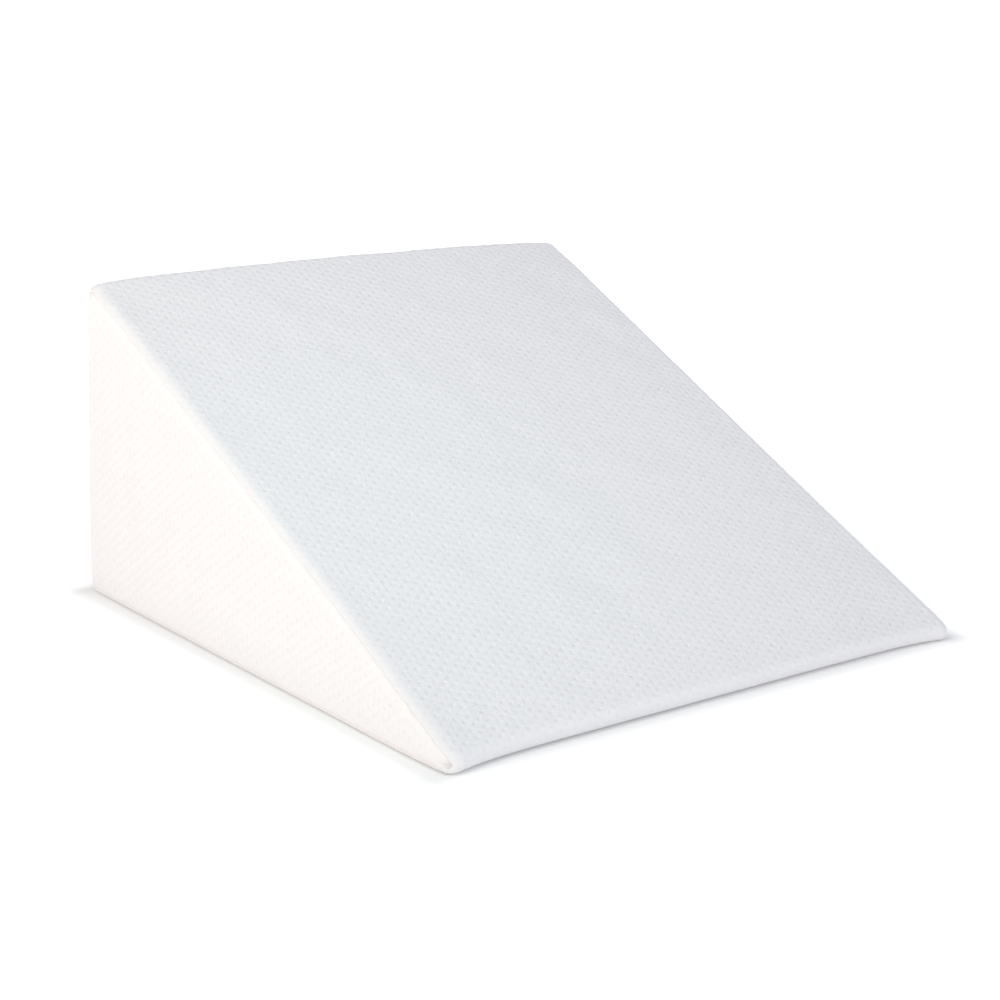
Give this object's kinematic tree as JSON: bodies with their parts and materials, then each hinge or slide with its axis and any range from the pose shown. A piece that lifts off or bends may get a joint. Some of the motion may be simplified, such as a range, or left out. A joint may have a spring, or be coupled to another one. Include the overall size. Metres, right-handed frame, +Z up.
{
  "type": "wedge pillow",
  "caption": "Foam wedge pillow in a knitted jacquard cover, with a long slope to lie against, an upright back and a flat base",
  "frame": {"origin": "middle of the flat base, on the surface that the pillow rests on", "axes": "+X to the user's right across the width as the slope faces them, +Y from the thin front edge to the tall back, +Z up"},
  "size_m": [0.5652, 0.6104, 0.3096],
  "materials": {
    "knit_cover": "soft white knitted jacquard with small staggered dimples, matt"
  },
  "bodies": {
    "root": {"wedge_pillow": "knit_cover"}
  },
  "joints": []
}
